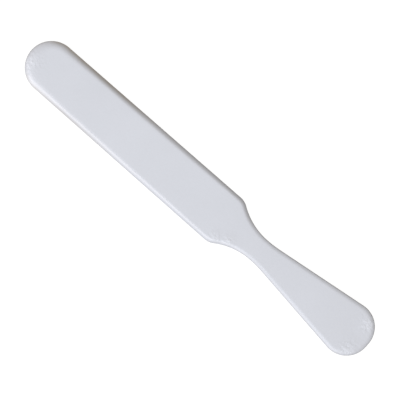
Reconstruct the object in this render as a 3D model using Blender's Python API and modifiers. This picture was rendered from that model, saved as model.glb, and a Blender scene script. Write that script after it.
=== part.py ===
"""Bone folder: a one-piece tool for creasing, scoring and smoothing paper.

It is a single flat blank of white plastic: a long blade with a round tip, a
waisted neck, and a handle that flares to a rounded butt. Both broad faces are
flat and parallel. A soft bevel runs round each of them. On the blade the two
bevels nearly meet, in an edge thin enough to score a crease, and on the neck
and the handle they leave a blunt wall between them that is easy on the hand.

The tool lies flat on its underside. +X points along it to the blade's tip, +Z
is up, and the origin is below its middle, on the surface that it rests on.
Only a quarter of the surface is modelled; two mirrors make the rest of it.
"""

import math

import bmesh
import bpy

MM = 0.001

# ---- Driving dimensions: millimetres, and degrees for the angles ----

LENGTH = 203.0
THICKNESS = 3.0

TIP_RADIUS = 12.2  # the round tip, which is also half the blade's width there
BLADE_FLARE = 0.19  # how far each long edge opens out on its way to the shoulder
SHOULDER_AT = 115.7  # from the tip to where the shoulder starts to turn in
SHOULDER_RADIUS = 7.9
SHOULDER_ANGLE = 33.9  # the steepest slope between shoulder and neck
NECK_RADIUS_TO_BLADE = 31.0  # hollow of the neck, on the blade's side of the waist
NECK_RADIUS_TO_HANDLE = 58.3
HANDLE_FLARE = 7.7  # slope of each straight side of the handle
BUTT_CORNER_RADIUS = 11.6
BUTT_END_RADIUS = 40.0  # the arc across the handle's end, nearly flat

# The bevel at distances from the tip: its width, and its drop from the flat face.
BEVEL = (
    (0.0, 5.2, 0.9),  # feathered, to slip under a fold
    (7.5, 4.4, 1.4),
    (35.0, 3.3, 1.4),  # the sharpest stretch, to score with
    (75.0, 2.8, 1.05),
    (SHOULDER_AT, 2.3, 0.95),
    (137.0, 2.0, 0.35),  # the waist
    (LENGTH, 2.2, 0.45),
)
RIM_RADIUS = 0.6  # rounds the bevel into the wall, and is smaller on a thin edge

# ---- How finely the surface is divided ----

ARC_STEP = 4.0  # degrees of an outline arc between two stations
LINE_STEP = 19.0  # millimetres of a straight side between two stations
RIM_STEPS = 4  # rings of faces round the rim
BEVEL_STEPS = 7  # rings of faces across the bevel
WELD = 1e-6  # metres: closer points are one point
MIRROR_WELD = 1e-5

WHITE_PLASTIC = (0.67, 0.69, 0.74, 1.0)
PLASTIC_ROUGHNESS = 0.35


# ---- Outline: the +Y half, followed from the tip to the butt ----
# A station is (distance from the tip, half width, heading), where the heading
# is the angle between the outline and the tool's axis, in radians.


def arc(start, heading_to, radius):
    """Stations along an arc that leaves start smoothly and turns to heading_to."""
    along, half_width, heading = start
    turn = heading_to - heading
    left = math.copysign(1.0, turn)
    steps = max(2, math.ceil(abs(math.degrees(turn)) / ARC_STEP))
    stations = []
    for step in range(1, steps + 1):
        now = heading + turn * step / steps
        stations.append(
            (
                along + left * radius * (math.sin(now) - math.sin(heading)),
                half_width - left * radius * (math.cos(now) - math.cos(heading)),
                now,
            )
        )
    return stations


def line(start, length):
    """Stations along a straight side that leaves start on its heading."""
    along, half_width, heading = start
    steps = math.ceil(length / LINE_STEP)
    stations = []
    for step in range(1, steps + 1):
        gone = length * step / steps
        stations.append(
            (
                along + gone * math.cos(heading),
                half_width + gone * math.sin(heading),
                heading,
            )
        )
    return stations


def handle_side_length(start):
    """Length of the handle's straight side, from the neck to the butt's corner.

    The corner's arc touches that side and runs into the end's arc from inside,
    so its centre lies a corner radius in from the side, and at the difference
    of the two radii from the end's centre, which is on the tool's axis.
    """
    along, half_width, heading = start
    end_centre = LENGTH - BUTT_END_RADIUS
    between_centres = BUTT_END_RADIUS - BUTT_CORNER_RADIUS
    corner_along = along + BUTT_CORNER_RADIUS * math.sin(heading) - end_centre
    corner_half_width = half_width - BUTT_CORNER_RADIUS * math.cos(heading)
    half_b = corner_along * math.cos(heading) + corner_half_width * math.sin(heading)
    c = corner_along**2 + corner_half_width**2 - between_centres**2
    return -half_b + math.sqrt(half_b**2 - c)


def butt_heading(start):
    """Heading at which the corner's arc has turned into the end's arc."""
    along, half_width, heading = start
    corner_along = along + BUTT_CORNER_RADIUS * math.sin(heading)
    corner_half_width = half_width - BUTT_CORNER_RADIUS * math.cos(heading)
    end_centre = LENGTH - BUTT_END_RADIUS
    return math.atan2(corner_half_width, corner_along - end_centre) - math.pi / 2


def outline():
    """Stations along the +Y half of the outline, with both ends on the axis."""
    stations = [(0.0, 0.0, math.pi / 2)]

    blade_heading = math.radians(BLADE_FLARE)
    stations += arc(stations[-1], blade_heading, TIP_RADIUS)
    along = stations[-1][0]
    blade_side = (SHOULDER_AT - along) / math.cos(blade_heading)
    stations += line(stations[-1], blade_side)

    stations += arc(stations[-1], -math.radians(SHOULDER_ANGLE), SHOULDER_RADIUS)
    stations += arc(stations[-1], 0.0, NECK_RADIUS_TO_BLADE)
    stations += arc(stations[-1], math.radians(HANDLE_FLARE), NECK_RADIUS_TO_HANDLE)
    stations += line(stations[-1], handle_side_length(stations[-1]))

    heading = butt_heading(stations[-1])
    stations += arc(stations[-1], heading, BUTT_CORNER_RADIUS)
    stations += arc(stations[-1], -math.pi / 2, BUTT_END_RADIUS)
    return stations


# ---- Section: wall, rim and bevel, from mid-thickness up to the flat face ----


def bevel_at(along):
    """Width and drop of the bevel at this distance from the tip."""
    for (start, width, drop), (end, next_width, next_drop) in zip(BEVEL, BEVEL[1:]):
        if along <= end:
            share = max(0.0, (along - start) / (end - start))
            blend = share * share * (3 - 2 * share)
            return width + (next_width - width) * blend, drop + (next_drop - drop) * blend
    return BEVEL[-1][1:]


def climb_left(share):
    """Share of its drop that the bevel has yet to climb, this share of the way in.

    It starts at twice its mean slope and levels out into the flat face.
    """
    return 1 - share - math.sin(math.pi * share) / math.pi


def edge_points(along):
    """Points (distance in from the edge, height) up the wall, the rim and the bevel."""
    width, drop = bevel_at(along)
    steepest = math.atan(2 * drop / width)
    room = THICKNESS / 2 - drop
    rim_radius = min(RIM_RADIUS, room / math.cos(steepest))
    wall = room - rim_radius * math.cos(steepest)
    points = [(0.0, 0.0)]
    for step in range(RIM_STEPS + 1):
        slope = math.pi / 2 + (steepest - math.pi / 2) * step / RIM_STEPS
        inwards = rim_radius * (1 - math.sin(slope))
        points.append((inwards, wall + rim_radius * math.cos(slope)))
    rim_width = points[-1][0]
    for step in range(1, BEVEL_STEPS + 1):
        share = step / BEVEL_STEPS
        height = THICKNESS / 2 - drop * climb_left(share)
        points.append((rim_width + width * share, height))
    return points


def section(station):
    """Points from the edge, in and up to the flat face, and across it to the axis."""
    along, half_width, heading = station
    points = [
        (
            along + inwards * math.sin(heading),
            half_width - inwards * math.cos(heading),
            height,
        )
        for inwards, height in edge_points(along)
    ]
    points.append((points[-1][0], 0.0, points[-1][2]))
    return points


# ---- The solid ----


def quarter_surface(stations):
    """A grid with one row for each station and one column for each section point."""
    sections = [section(station) for station in stations]
    rows = len(sections)
    columns = len(sections[0])
    surface = bmesh.new()
    # create_grid lists its points row after row, and each row along its X.
    bmesh.ops.create_grid(surface, x_segments=columns - 1, y_segments=rows - 1)
    surface.verts.ensure_lookup_table()
    for row, points in enumerate(sections):
        for column, (along, half_width, height) in enumerate(points):
            vertex = surface.verts[row * columns + column]
            vertex.co = ((LENGTH / 2 - along) * MM, half_width * MM, height * MM)
    bmesh.ops.remove_doubles(surface, verts=surface.verts, dist=WELD)
    bmesh.ops.recalc_face_normals(surface, faces=surface.faces)
    top_face = max(surface.faces, key=lambda face: face.calc_area())
    if top_face.normal.z < 0:
        bmesh.ops.reverse_faces(surface, faces=surface.faces)
    return surface


def white_plastic():
    material = bpy.data.materials.new("white_plastic")
    material.use_nodes = True
    shader = material.node_tree.nodes["Principled BSDF"]
    shader.inputs["Base Color"].default_value = WHITE_PLASTIC
    shader.inputs["Roughness"].default_value = PLASTIC_ROUGHNESS
    shader.inputs["Metallic"].default_value = 0.0
    return material


def make_folder_body(collection):
    """The whole tool: it is made in one piece, so it is one object."""
    surface = quarter_surface(outline())
    mesh = bpy.data.meshes.new("folder_body")
    surface.to_mesh(mesh)
    surface.free()
    mesh.materials.append(white_plastic())

    body = bpy.data.objects.new("folder_body", mesh)
    body.location.z = THICKNESS / 2 * MM
    collection.objects.link(body)

    mirror = body.modifiers.new("other_side_and_underside", "MIRROR")
    mirror.use_axis = (False, True, True)
    mirror.merge_threshold = MIRROR_WELD
    mesh.shade_smooth()
    return body


def main():
    for leftover in list(bpy.data.objects):
        bpy.data.objects.remove(leftover)
    collection = bpy.data.collections.new("bone_folder")
    bpy.context.scene.collection.children.link(collection)
    make_folder_body(collection)


main()
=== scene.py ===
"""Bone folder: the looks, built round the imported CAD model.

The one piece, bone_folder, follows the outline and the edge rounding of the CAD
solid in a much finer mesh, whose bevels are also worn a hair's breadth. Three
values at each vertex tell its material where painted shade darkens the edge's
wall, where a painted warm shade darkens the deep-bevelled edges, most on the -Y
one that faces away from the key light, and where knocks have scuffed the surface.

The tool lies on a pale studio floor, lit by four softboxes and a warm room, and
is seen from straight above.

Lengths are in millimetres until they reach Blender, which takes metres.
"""

import math

import bmesh
import bpy
from mathutils import Euler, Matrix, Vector, noise


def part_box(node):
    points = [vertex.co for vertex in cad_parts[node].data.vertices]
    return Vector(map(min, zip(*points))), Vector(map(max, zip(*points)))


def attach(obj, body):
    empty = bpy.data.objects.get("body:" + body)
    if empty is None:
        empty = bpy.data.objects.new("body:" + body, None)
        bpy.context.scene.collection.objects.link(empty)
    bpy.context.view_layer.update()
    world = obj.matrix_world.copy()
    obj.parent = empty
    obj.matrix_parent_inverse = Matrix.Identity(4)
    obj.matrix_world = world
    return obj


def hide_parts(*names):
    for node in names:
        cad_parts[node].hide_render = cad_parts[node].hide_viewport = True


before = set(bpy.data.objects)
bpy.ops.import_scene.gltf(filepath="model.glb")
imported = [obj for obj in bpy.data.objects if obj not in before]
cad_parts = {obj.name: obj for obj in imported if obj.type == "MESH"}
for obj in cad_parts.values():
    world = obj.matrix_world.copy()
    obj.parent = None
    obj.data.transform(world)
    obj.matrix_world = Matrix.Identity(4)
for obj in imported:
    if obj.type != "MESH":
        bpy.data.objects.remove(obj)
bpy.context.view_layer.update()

MM = 0.001
BODY_NODE = "folder_body"
LOW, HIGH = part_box(BODY_NODE)
CENTRE = (LOW + HIGH) / 2
LENGTH = (HIGH.x - LOW.x) / MM
THICKNESS = (HIGH.z - LOW.z) / MM

# ---- Shape, in millimetres, and degrees for the angles ----

TIP_RADIUS = 12.2
BLADE_FLARE = 0.19  # how far each long edge opens out on its way to the shoulder
SHOULDER_AT = 115.7  # from the tip to where the shoulder starts to turn in
SHOULDER_RADIUS = 7.9
SHOULDER_ANGLE = 33.9  # the steepest slope between shoulder and neck
NECK_RADIUS_TO_BLADE = 31.0  # hollow of the neck, on the blade's side of the waist
NECK_RADIUS_TO_HANDLE = 58.3
HANDLE_FLARE = 7.7  # slope of each straight side of the handle
BUTT_CORNER_RADIUS = 11.6
BUTT_END_RADIUS = 40.0  # the arc across the handle's end, nearly flat

# The bevel at distances from the tip: its width, and its drop from the flat face.
BEVEL = (
    (0.0, 5.2, 0.9),  # feathered, to slip under a fold
    (7.5, 4.4, 1.4),
    (35.0, 3.3, 1.4),  # the sharpest stretch, to score with
    (75.0, 2.8, 1.05),
    (SHOULDER_AT, 2.3, 0.95),
    (137.0, 2.0, 0.35),  # the waist
    (LENGTH, 2.2, 0.45),
)
RIM_RADIUS = 0.6  # rounds the bevel into the wall, and is smaller on a thin edge

STATION_STEP = 0.45  # along the outline
WALL_STEPS = 2  # rings of faces up each part of the section
RIM_STEPS = 6
BEVEL_STEPS = 14
FLAT_STEPS = 10
WELD = 1e-6  # metres: closer points are one point

# ---- Wear, in millimetres ----

WEAR_DEPTH = 0.03  # the most that the bevels are sunk
WEAR_SPACING = 5.0  # between one low place and the next
WEAR_FROM = 0.25  # the drop from the flat face where the wear is at its full depth
WEAR_ROUGHNESS, WEAR_LACUNARITY, WEAR_OCTAVES = 0.6, 2.0, 3  # of its fractal noise

# Painted shade: the colour is darker on the edge's wall and rim.
EDGE_SHADE_FADE = 0.7  # how far in from the edge the painted shade on its wall falls to about a third

# Painted shade: a warm darkening along the deep-bevelled edges, strongest on the -Y edge
# that faces away from the key light.
WARM_SHADE_FADE = 1.4  # how far in from a deep-bevelled edge its painted warm shade falls to about a third
WARM_SHADE_FROM, WARM_SHADE_FULL = 1.0, 1.4  # drops of the bevels with no painted warm shade, and with all of it
TIP_WARM_SHADE = 0.4  # share of the full painted warm shade that the round tip has at least
LIT_SIDE_WARM_SHADE = 0.5  # share of the painted warm shade left from the axis to the +Y edge, which faces the key light

# Places scuffed by knocks: distance from the tip, distance across to +Y, and how
# far from there the scuffing falls to about a third.
KNOCKS = (
    (3.5, 4.0, 5.5),
    (118.5, 9.5, 3.6),
    (124.0, 6.2, 3.2),
    (198.0, 7.5, 5.0),
    (197.0, -7.5, 4.5),
)


# ---- Outline: the +Y half, followed from the tip to the butt ----
# A station is (distance from the tip, half width, heading), where the heading
# is the angle between the outline and the tool's axis, in radians.


def arc(start, heading_to, radius):
    """Stations along an arc that leaves start smoothly and turns to heading_to."""
    along, half_width, heading = start
    turn = heading_to - heading
    left = math.copysign(1.0, turn)
    steps = math.ceil(radius * abs(turn) / STATION_STEP)
    stations = []
    for step in range(1, steps + 1):
        now = heading + turn * step / steps
        stations.append(
            (
                along + left * radius * (math.sin(now) - math.sin(heading)),
                half_width - left * radius * (math.cos(now) - math.cos(heading)),
                now,
            )
        )
    return stations


def line(start, length):
    """Stations along a straight side that leaves start on its heading."""
    along, half_width, heading = start
    steps = math.ceil(length / STATION_STEP)
    stations = []
    for step in range(1, steps + 1):
        gone = length * step / steps
        stations.append(
            (
                along + gone * math.cos(heading),
                half_width + gone * math.sin(heading),
                heading,
            )
        )
    return stations


def butt_corner_centre(start):
    """Centre of the butt's corner if its arc began at start, seen from the end's."""
    along, half_width, heading = start
    end_centre = LENGTH - BUTT_END_RADIUS
    return (
        along + BUTT_CORNER_RADIUS * math.sin(heading) - end_centre,
        half_width - BUTT_CORNER_RADIUS * math.cos(heading),
    )


def handle_side_length(start):
    """Length of the handle's straight side, from the neck to the butt's corner.

    The corner's arc has to run into the end's arc from inside, so the distance
    between their centres is the difference of their radii.
    """
    heading = start[2]
    corner_along, corner_half_width = butt_corner_centre(start)
    between_centres = BUTT_END_RADIUS - BUTT_CORNER_RADIUS
    half_b = corner_along * math.cos(heading) + corner_half_width * math.sin(heading)
    c = corner_along**2 + corner_half_width**2 - between_centres**2
    return -half_b + math.sqrt(half_b**2 - c)


def butt_heading(start):
    """Heading at which the corner's arc has turned into the end's arc."""
    corner_along, corner_half_width = butt_corner_centre(start)
    return math.atan2(corner_half_width, corner_along) - math.pi / 2


def outline():
    """Stations along the +Y half of the outline, with both ends on the axis."""
    stations = [(0.0, 0.0, math.pi / 2)]

    blade_heading = math.radians(BLADE_FLARE)
    stations += arc(stations[-1], blade_heading, TIP_RADIUS)
    along = stations[-1][0]
    blade_side = (SHOULDER_AT - along) / math.cos(blade_heading)
    stations += line(stations[-1], blade_side)

    stations += arc(stations[-1], -math.radians(SHOULDER_ANGLE), SHOULDER_RADIUS)
    stations += arc(stations[-1], 0.0, NECK_RADIUS_TO_BLADE)
    stations += arc(stations[-1], math.radians(HANDLE_FLARE), NECK_RADIUS_TO_HANDLE)
    stations += line(stations[-1], handle_side_length(stations[-1]))

    heading = butt_heading(stations[-1])
    stations += arc(stations[-1], heading, BUTT_CORNER_RADIUS)
    stations += arc(stations[-1], -math.pi / 2, BUTT_END_RADIUS)
    return stations


# ---- Section: wall, rim and bevel, from mid-thickness up to the flat face ----


def bevel_at(along):
    """Width and drop of the bevel at this distance from the tip."""
    for (start, width, drop), (end, next_width, next_drop) in zip(BEVEL, BEVEL[1:]):
        if along <= end:
            share = max(0.0, (along - start) / (end - start))
            blend = share * share * (3 - 2 * share)
            return width + (next_width - width) * blend, drop + (next_drop - drop) * blend
    return BEVEL[-1][1:]


def climb_left(share):
    """Share of its drop that the bevel has yet to climb, this share of the way in.

    It starts at twice its mean slope and levels out into the flat face.
    """
    return 1 - share - math.sin(math.pi * share) / math.pi


def edge_points(along):
    """Points (distance in from the edge, height) up the wall, the rim and the bevel."""
    width, drop = bevel_at(along)
    steepest = math.atan(2 * drop / width)
    room = THICKNESS / 2 - drop
    rim_radius = min(RIM_RADIUS, room / math.cos(steepest))
    wall = room - rim_radius * math.cos(steepest)
    points = [(0.0, wall * step / WALL_STEPS) for step in range(WALL_STEPS)]
    for step in range(RIM_STEPS + 1):
        slope = math.pi / 2 + (steepest - math.pi / 2) * step / RIM_STEPS
        inwards = rim_radius * (1 - math.sin(slope))
        points.append((inwards, wall + rim_radius * math.cos(slope)))
    rim_width = points[-1][0]
    for step in range(1, BEVEL_STEPS + 1):
        share = step / BEVEL_STEPS
        height = THICKNESS / 2 - drop * climb_left(share)
        points.append((rim_width + width * share, height))
    return points


def section(station):
    """Points from the edge, in and up to the flat face, and across it to the axis."""
    along, half_width, heading = station
    points = [
        (
            along + inwards * math.sin(heading),
            half_width - inwards * math.cos(heading),
            height,
        )
        for inwards, height in edge_points(along)
    ]
    flat_along, flat_half_width, top = points[-1]
    for step in range(1, FLAT_STEPS + 1):
        left_over = flat_half_width * (1 - step / FLAT_STEPS)
        points.append((flat_along, left_over, top))
    return points


def edge_shade_tone(inwards):
    """How much painted shade darkens the colour: 1 on the wall, fading inwards from it.
    """
    return math.exp(-((inwards / EDGE_SHADE_FADE) ** 2))


def warm_shade_tone(along, inwards, drop):
    """How much painted warm shade darkens the colour: 1 on the wall of the deep-bevelled
    edges, fading inwards from it.

    Those are the edges with the deepest bevels. The round tip counts as one in part.
    """
    share = (drop - WARM_SHADE_FROM) / (WARM_SHADE_FULL - WARM_SHADE_FROM)
    if along < TIP_RADIUS:
        share = max(TIP_WARM_SHADE, share)
    return max(0.0, min(1.0, share)) * math.exp(-((inwards / WARM_SHADE_FADE) ** 2))


def quarter_surface():
    """A grid with one row for each station and one column for each section point."""
    stations = outline()
    sections = [section(station) for station in stations]
    rows = len(sections)
    columns = len(sections[0])
    surface = bmesh.new()
    # create_grid lists its points row after row, and each row along its X.
    bmesh.ops.create_grid(surface, x_segments=columns - 1, y_segments=rows - 1)
    surface.verts.ensure_lookup_table()
    # Layers for the painted shade on the wall, and for the painted warm shade along the
    # deep-bevelled edges.
    edge = surface.verts.layers.float.new("edge")
    warm_shade = surface.verts.layers.float.new("warm_shade")
    for row, points in enumerate(sections):
        for column, (along, half_width, height) in enumerate(points):
            vertex = surface.verts[row * columns + column]
            vertex.co = ((LENGTH / 2 - along) * MM, half_width * MM, height * MM)
        station_along = stations[row][0]
        drop = bevel_at(station_along)[1]
        for column, (inwards, _) in enumerate(edge_points(station_along)):
            vertex = surface.verts[row * columns + column]
            vertex[edge] = edge_shade_tone(inwards)
            vertex[warm_shade] = warm_shade_tone(station_along, inwards, drop)
    bmesh.ops.remove_doubles(surface, verts=surface.verts, dist=WELD)
    return surface


def whole_surface():
    """The quarter and its three mirror images, welded into one closed surface."""
    surface = quarter_surface()
    for axis in ("Y", "Z"):
        bmesh.ops.mirror(
            surface, geom=surface.verts[:] + surface.edges[:] + surface.faces[:],
            axis=axis, merge_dist=WELD,
        )
    bmesh.ops.recalc_face_normals(surface, faces=surface.faces)
    surface.normal_update()
    return surface


def knock(surface):
    """Marks the places that knocks have scuffed: 1 in their middle, fading outwards."""
    layer = surface.verts.layers.float.new("knocks")
    for vertex in surface.verts:
        tones = []
        for along, across, reach in KNOCKS:
            ahead = LENGTH / 2 - along - vertex.co.x / MM
            apart = math.hypot(ahead, across - vertex.co.y / MM)
            tones.append(math.exp(-((apart / reach) ** 2)))
        vertex[layer] = max(tones)


def warm_shade_one_side(surface):
    """Keeps all the painted warm shade on the -Y edge, which faces away from the key
    light, but only a share of it on the +Y side.
    """
    layer = surface.verts.layers.float["warm_shade"]
    for vertex in surface.verts:
        across = vertex.co.y / (TIP_RADIUS * MM)
        share = (1 - across) / 2
        vertex[layer] *= max(LIT_SIDE_WARM_SHADE, min(1.0, share))


def wear(surface):
    """Sinks the bevels by a varying hair's breadth, and leaves the flat faces alone."""
    for vertex in surface.verts:
        drop = THICKNESS / 2 - abs(vertex.co.z) / MM
        share = min(1.0, drop / WEAR_FROM)
        place = vertex.co / (WEAR_SPACING * MM)
        fractal = noise.fractal(place, WEAR_ROUGHNESS, WEAR_LACUNARITY, WEAR_OCTAVES)
        depth = WEAR_DEPTH * share * (0.5 + 0.5 * fractal)
        vertex.co -= vertex.normal * min(WEAR_DEPTH, max(0.0, depth)) * MM


def make_bone_folder():
    surface = whole_surface()
    knock(surface)
    warm_shade_one_side(surface)
    wear(surface)
    mesh = bpy.data.meshes.new("bone_folder")
    surface.to_mesh(mesh)
    surface.free()
    mesh.shade_smooth()
    folder = bpy.data.objects.new("bone_folder", mesh)
    folder.location = CENTRE
    bpy.context.scene.collection.objects.link(folder)
    return folder


# ---- Material, with sizes in millimetres ----

PLASTIC = (0.65, 0.69, 0.774, 1)
# Warm grey of the painted shade along the deep-bevelled edges.
WARM_SHADE_COLOUR = (0.475, 0.462, 0.452, 1)
PAINTED_EDGE_SHADE = 0.82  # share of the plastic's colour that the painted shade leaves on the wall
ROUGHNESS = 0.33
PLASTIC_IOR = 1.49

# Unevenness: the size of its blobs, the detail of its noise, how far the noise
# strays from 0.5, and how far that moves the value from its mean.
CLOUDS = (28.0, 3.0, 0.2, 0.015)  # of the plastic's tone
GRAIN = (0.9, 2.0, 0.25, 0.01)  # of the plastic's tone
PATCHES = (5.0, 2.0, 0.2, 0.15)  # of the painted warm shade
HANDLING = (12.0, 2.0, 0.3, 0.02)  # of the roughness

KNOCK_SIZE, KNOCK_DETAIL = 1.4, 2.0  # of the blobs where knocks have scuffed it
KNOCK_HEIGHT = 0.35
WHITE_FROM, WHITE_FULL = 0.3, 0.65  # levels of their noise with no whitening, and all
WHITENING = 1.12  # of the plastic's tone
RIPPLE_SIZE, RIPPLE_HEIGHT = 4.0, 0.008

# Hairline scratches: turn from the tool's axis in degrees, width, length, and
# the level of their noise above which they show.
SCRATCHES = (
    (4.0, 0.22, 16.0, 0.67),
    (-11.0, 0.16, 9.0, 0.69),
)
SCRATCH_FADE = 0.06  # how far above that level a scratch is at its strongest
SCRATCH_ROUGHNESS = 0.05  # what it adds there


class Shading:
    """Short ways to add nodes to a material and join them."""

    def __init__(self, name):
        self.material = bpy.data.materials.new(name)
        self.material.use_nodes = True
        self.tree = self.material.node_tree
        self.shader = self.tree.nodes["Principled BSDF"]

    def node(self, kind, inputs=None, **settings):
        """Adds a node. Each input is a value or a socket to join it to."""
        node = self.tree.nodes.new(kind)
        for key, value in settings.items():
            setattr(node, key, value)
        for key, value in (inputs or {}).items():
            if isinstance(value, bpy.types.NodeSocket):
                self.tree.links.new(value, node.inputs[key])
            else:
                node.inputs[key].default_value = value
        return node

    def join(self, socket, shader_input):
        self.tree.links.new(socket, self.shader.inputs[shader_input])

    def noise(self, place, size, detail):
        """A noise of about 0.5 on average, with blobs of this size."""
        inputs = {"Vector": place, "Scale": 1 / (size * MM), "Detail": detail}
        return self.node("ShaderNodeTexNoise", inputs).outputs["Fac"]

    def remap(self, value, from_low, from_high, to_low, to_high):
        inputs = {
            "Value": value,
            "From Min": from_low,
            "From Max": from_high,
            "To Min": to_low,
            "To Max": to_high,
        }
        return self.node("ShaderNodeMapRange", inputs).outputs["Result"]

    def uneven(self, place, unevenness, mean):
        """A value that strays from its mean by an unevenness, as listed above."""
        size, detail, spread, change = unevenness
        blobs = self.noise(place, size, detail)
        return self.remap(blobs, 0.5 - spread, 0.5 + spread, mean - change, mean + change)

    def attribute(self, name):
        """The value that each vertex has in the layer of this name."""
        return self.node("ShaderNodeAttribute", attribute_name=name).outputs["Fac"]

    def mix(self, factor, first, second, clamp=True):
        """The first colour where the factor is 0, and the second where it is 1."""
        inputs = {"Factor": factor, "A": first, "B": second}
        node = self.node("ShaderNodeMix", inputs, data_type="RGBA", clamp_factor=clamp)
        return node.outputs["Result"]

    def sum(self, first, second):
        node = self.node("ShaderNodeMath", {0: first, 1: second}, operation="ADD")
        return node.outputs["Value"]

    def product(self, first, second):
        node = self.node("ShaderNodeMath", {0: first, 1: second}, operation="MULTIPLY")
        return node.outputs["Value"]


def scratches(shading, place, turn, width, length, level):
    """Hairline scratches, as listed above: 1 on them, and 0 between them."""
    inputs = {
        "Vector": place,
        "Rotation": (0, 0, math.radians(turn)),
        "Scale": (width / length, 1, 1),
    }
    streaks = shading.node("ShaderNodeMapping", inputs).outputs["Vector"]
    lines = shading.noise(streaks, width, 1.0)
    return shading.remap(lines, level, level + SCRATCH_FADE, 0, 1)


def plastic_colour(shading, place, scuffs):
    """Cloudy white, lighter in the scuffs, with painted shade on the edge's wall and a
    painted warm shade along the deep-bevelled edges.
    """
    clouds = shading.uneven(place, CLOUDS, 1)
    grain = shading.uneven(place, GRAIN, 1)
    # Painted shade: the colour darkens on the edge's wall.
    edge_shade = shading.remap(shading.attribute("edge"), 0, 1, 1, PAINTED_EDGE_SHADE)
    whitening = shading.remap(scuffs, WHITE_FROM, WHITE_FULL, 1, WHITENING)
    tone = shading.product(shading.product(clouds, grain), edge_shade)
    tone = shading.product(tone, whitening)
    white = shading.mix(tone, (0, 0, 0, 1), PLASTIC, clamp=False)
    # Painted warm shade along the deep-bevelled edges, made patchy.
    patches = shading.uneven(place, PATCHES, 1)
    warm_shade = shading.product(shading.attribute("warm_shade"), patches)
    return shading.mix(warm_shade, white, WARM_SHADE_COLOUR)


def plastic_roughness(shading, place):
    """Uneven from handling, and duller on the scratches."""
    marks = shading.sum(*(scratches(shading, place, *kind) for kind in SCRATCHES))
    handling = shading.uneven(place, HANDLING, 0)
    dulling = shading.sum(shading.product(marks, SCRATCH_ROUGHNESS), handling)
    return shading.sum(dulling, ROUGHNESS)


def plastic_relief(shading, place, scuffs):
    """Heights in millimetres: a faint ripple all over, and the scuffs' blobs."""
    ripple = shading.product(shading.noise(place, RIPPLE_SIZE, 0.0), RIPPLE_HEIGHT)
    return shading.sum(ripple, shading.product(scuffs, KNOCK_HEIGHT))


def white_plastic():
    """Satin white plastic, a little cloudy and worn by use."""
    shading = Shading("white_plastic")
    place = shading.node("ShaderNodeTexCoord").outputs["Object"]
    blobs = shading.noise(place, KNOCK_SIZE, KNOCK_DETAIL)
    scuffs = shading.product(blobs, shading.attribute("knocks"))
    shading.join(plastic_colour(shading, place, scuffs), "Base Color")
    shading.join(plastic_roughness(shading, place), "Roughness")
    relief = plastic_relief(shading, place, scuffs)
    bump = shading.node("ShaderNodeBump", {"Height": relief, "Distance": MM})
    shading.join(bump.outputs["Normal"], "Normal")
    shading.shader.inputs["IOR"].default_value = PLASTIC_IOR
    return shading.material


# ---- Studio ----

VIEW_TURN = -138.66  # degrees about +Z: the tool's tip points up and to the left
LENS = 100.0  # mm
SENSOR = 36.0  # mm
FRAME_WIDTH = 181.7  # mm that the picture spans, at mid-thickness
AIM_RIGHT, AIM_UP = 0.38, -1.06  # mm from the tool's middle to the picture's

FLOOR_SIZE = 2.0  # metres from its middle to each side
FLOOR_GREY = (0.16, 0.16, 0.16, 1)  # what it reflects
FLOOR_WHITE = (0.95, 0.95, 0.95, 1)  # what it adds for the camera
BACKDROP = (1, 1, 1, 1)
ROOM_COLOUR, ROOM_STRENGTH = (1.0, 0.86, 0.71, 1), 0.45

SOFTBOX_DISTANCE = 0.9  # metres from the tool's middle
# Name, azimuth, elevation, width and height in metres, power in watts, colour.
SOFTBOXES = (
    ("key_strip", 90, 42, 0.9, 0.4, 3.6, (1.0, 0.945, 0.915)),
    ("tip_box", 59, 30, 0.38, 0.35, 2.75, (0.91, 0.92, 0.96)),
    ("back_box", 120, 58, 0.35, 0.35, 1.2, (0.70, 0.84, 1.0)),
    ("overhead", 0, 84, 0.6, 0.6, 0.97, (0.70, 0.88, 1.0)),
)


def view_directions():
    """The picture's right and up, as directions in the frame."""
    turn = Euler((0, 0, math.radians(VIEW_TURN)))
    right = Vector((1, 0, 0))
    up = Vector((0, 1, 0))
    right.rotate(turn)
    up.rotate(turn)
    return right, up


def make_camera():
    data = bpy.data.cameras.new("camera")
    data.lens = LENS
    data.sensor_width = SENSOR
    camera = bpy.data.objects.new("camera", data)
    right, up = view_directions()
    height = FRAME_WIDTH * LENS / SENSOR
    aim = CENTRE + (right * AIM_RIGHT + up * AIM_UP) * MM
    camera.location = aim + Vector((0, 0, height * MM))
    camera.rotation_euler = (0, 0, math.radians(VIEW_TURN))
    bpy.context.scene.collection.objects.link(camera)
    bpy.context.scene.camera = camera


def camera_ray(tree):
    """A socket that is 1 for what the camera sees directly, and 0 for its light."""
    return tree.nodes.new("ShaderNodeLightPath").outputs["Is Camera Ray"]


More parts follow.
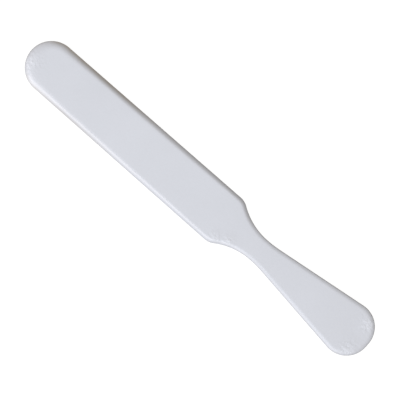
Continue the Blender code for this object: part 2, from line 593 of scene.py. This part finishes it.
def make_floor():
    """A paper floor, lifted to white for the camera so that it casts little light."""
    mesh = bpy.data.meshes.new("floor")
    surface = bmesh.new()
    bmesh.ops.create_grid(surface, x_segments=1, y_segments=1, size=FLOOR_SIZE)
    surface.to_mesh(mesh)
    surface.free()
    floor = bpy.data.objects.new("floor", mesh)
    floor.location.z = LOW.z
    bpy.context.scene.collection.objects.link(floor)
    material = bpy.data.materials.new("floor")
    material.use_nodes = True
    tree = material.node_tree
    shader = tree.nodes["Principled BSDF"]
    shader.inputs["Base Color"].default_value = FLOOR_GREY
    shader.inputs["Roughness"].default_value = 1.0
    shader.inputs["Specular IOR Level"].default_value = 0.0
    shader.inputs["Emission Color"].default_value = FLOOR_WHITE
    tree.links.new(camera_ray(tree), shader.inputs["Emission Strength"])
    material.cycles.emission_sampling = "NONE"
    floor.data.materials.append(material)


def softbox(name, azimuth, elevation, width, height, power, colour):
    """An area light aimed at the tool. Azimuth 0 is over +X, 90 over +Y."""
    data = bpy.data.lights.new(name, "AREA")
    data.shape = "RECTANGLE"
    data.size = width
    data.size_y = height
    data.energy = power
    data.color = colour
    light = bpy.data.objects.new(name, data)
    out = Vector((SOFTBOX_DISTANCE, 0, 0))
    out.rotate(Euler((0, -math.radians(elevation), math.radians(azimuth))))
    light.location = CENTRE + out
    light.rotation_euler = out.to_track_quat("Z", "Y").to_euler()
    light.visible_camera = False
    bpy.context.scene.collection.objects.link(light)


def make_light():
    world = bpy.data.worlds.new("studio")
    world.use_nodes = True
    tree = world.node_tree
    room = tree.nodes["Background"]
    room.inputs["Color"].default_value = ROOM_COLOUR
    room.inputs["Strength"].default_value = ROOM_STRENGTH
    backdrop = tree.nodes.new("ShaderNodeBackground")
    backdrop.inputs["Color"].default_value = BACKDROP
    choice = tree.nodes.new("ShaderNodeMixShader")
    tree.links.new(camera_ray(tree), choice.inputs["Fac"])
    tree.links.new(room.outputs["Background"], choice.inputs[1])
    tree.links.new(backdrop.outputs["Background"], choice.inputs[2])
    tree.links.new(choice.outputs["Shader"], tree.nodes["World Output"].inputs["Surface"])
    bpy.context.scene.world = world
    for box in SOFTBOXES:
        softbox(*box)


# ---- The scene ----

folder = make_bone_folder()
folder.data.materials.append(white_plastic())
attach(folder, "root")
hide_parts(BODY_NODE)

make_floor()
make_camera()
make_light()
bpy.context.scene.view_settings.view_transform = "Standard"
